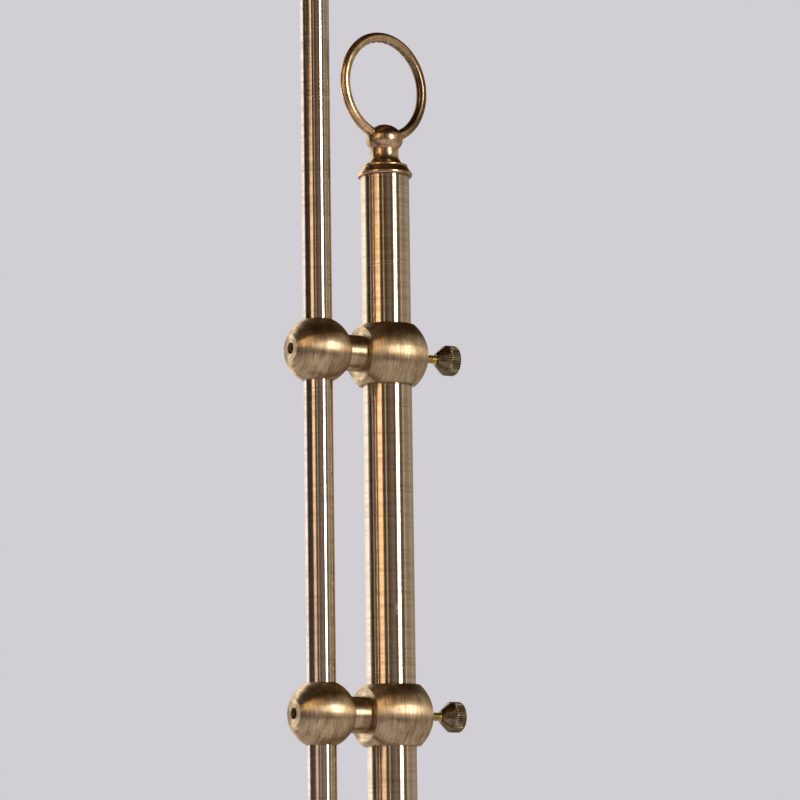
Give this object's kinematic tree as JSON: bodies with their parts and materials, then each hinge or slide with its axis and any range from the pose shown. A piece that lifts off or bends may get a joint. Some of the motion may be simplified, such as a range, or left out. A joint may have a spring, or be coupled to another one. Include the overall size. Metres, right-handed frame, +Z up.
{
  "type": "bridge floor lamp",
  "caption": "Bridge floor lamp: weighted foot, brass upright with a carrying ring, ball clamps with thumb screws, and a sliding rod with an arched arm and tilting shade.",
  "frame": {"origin": "middle of the foot's underside, on the floor", "axes": "+Z up the upright; +X from the rod through the upright to the thumb screws, so the arm reaches out along -X; +Y completes the frame"},
  "size_m": [0.4896, 0.2656, 1.5165],
  "materials": {
    "brushed_brass": "antique brass tube, brushed round the tube",
    "satin_brass": "antique brass, satin, fine curved brush marks",
    "polished_brass": "antique brass, rubbed bright on the crowns, dark in the recesses",
    "dark_brass": "dark bronzed brass",
    "thread_brass": "raw yellow brass thread",
    "spun_brass": "antique brass, spun and brushed in rings",
    "shade_brass": "antique brass outside, matt white inside",
    "zinc_steel": "zinc plated",
    "black_steel": "black oxide",
    "raw_iron": "cast, painted black",
    "pad_rubber": "foam rubber",
    "liner_nylon": "natural nylon",
    "holder_ceramic": "white glazed",
    "contact_brass": "bright stamped brass",
    "bulb_opal": "opal glass",
    "bulb_nickel": "nickel plated",
    "bulb_insulator": "black glass with a tinned button"
  },
  "bodies": {
    "stand": {"base_pad": "pad_rubber", "base_weight": "raw_iron", "base_cover": "spun_brass", "post_collar": "polished_brass", "post_foot_plug": "zinc_steel", "foot_stud": "zinc_steel", "foot_washer": "zinc_steel", "foot_nut": "zinc_steel", "post_tube": "brushed_brass", "finial": "polished_brass", "carry_ring": "polished_brass"},
    "liners": {"upper_liner": "liner_nylon", "lower_liner": "liner_nylon"},
    "carriage": {"upper_rod_ball": "satin_brass", "upper_post_ball": "satin_brass", "upper_spacer": "satin_brass", "lower_rod_ball": "satin_brass", "lower_post_ball": "satin_brass", "lower_spacer": "satin_brass", "joining_studs": "zinc_steel", "grub_screws": "black_steel", "rod_tube": "brushed_brass", "arm_coupler": "zinc_steel", "bridge_arm": "brushed_brass", "cord_gland": "polished_brass", "arm_nipple": "zinc_steel", "knuckle_upper": "polished_brass", "knuckle_screw": "polished_brass", "knuckle_washer": "zinc_steel", "knuckle_nut": "polished_brass"},
    "upper_screw": {"upper_screw_stud": "thread_brass"},
    "upper_knob": {"upper_knob": "dark_brass"},
    "lower_screw": {"lower_screw_stud": "thread_brass"},
    "lower_knob": {"lower_knob": "dark_brass"},
    "head": {"knuckle_lower": "polished_brass", "holder_nipple": "zinc_steel", "holder_cap": "polished_brass", "holder_shell": "polished_brass", "holder_insert": "holder_ceramic", "holder_sleeve": "contact_brass", "centre_contact": "contact_brass", "bulb_contact": "bulb_insulator", "bulb_cap": "bulb_nickel", "bulb_glass": "bulb_opal", "shade": "shade_brass", "shade_ring": "polished_brass"}
  },
  "joints": [
    {"name": "height_slide", "type": "slide", "parent": "stand", "child": "liners", "axis": [0, 0, 1], "range_m": [-0.55, 0.065]},
    {"name": "post_swivel", "type": "hinge", "parent": "liners", "child": "carriage", "pos_m": [0, 0, 1.0135], "axis": [0, 0, 1], "continuous": true},
    {"name": "head_tilt", "type": "hinge", "parent": "carriage", "child": "head", "pos_m": [-0.2558, 0, 1.3682], "axis": [0, 1, 0], "range_deg": [-40, 75]},
    {"name": "upper_screw_travel", "type": "slide", "parent": "carriage", "child": "upper_screw", "axis": [1, 0, 0], "range_m": [0, 0.0021]},
    {"name": "upper_screw_turn", "type": "hinge", "parent": "upper_screw", "child": "upper_knob", "pos_m": [0.0253, 0, 1.0135], "axis": [1, 0, 0], "range_deg": [0, 1080]},
    {"name": "lower_screw_travel", "type": "slide", "parent": "carriage", "child": "lower_screw", "axis": [1, 0, 0], "range_m": [0, 0.0021]},
    {"name": "lower_screw_turn", "type": "hinge", "parent": "lower_screw", "child": "lower_knob", "pos_m": [0.0253, 0, 0.8525], "axis": [1, 0, 0], "range_deg": [0, 1080]}
  ],
  "couplings": [
    {"joint": "upper_screw_travel", "follows": "upper_screw_turn", "m_per_rad": 0.0001114},
    {"joint": "lower_screw_travel", "follows": "lower_screw_turn", "m_per_rad": 0.0001114}
  ]
}
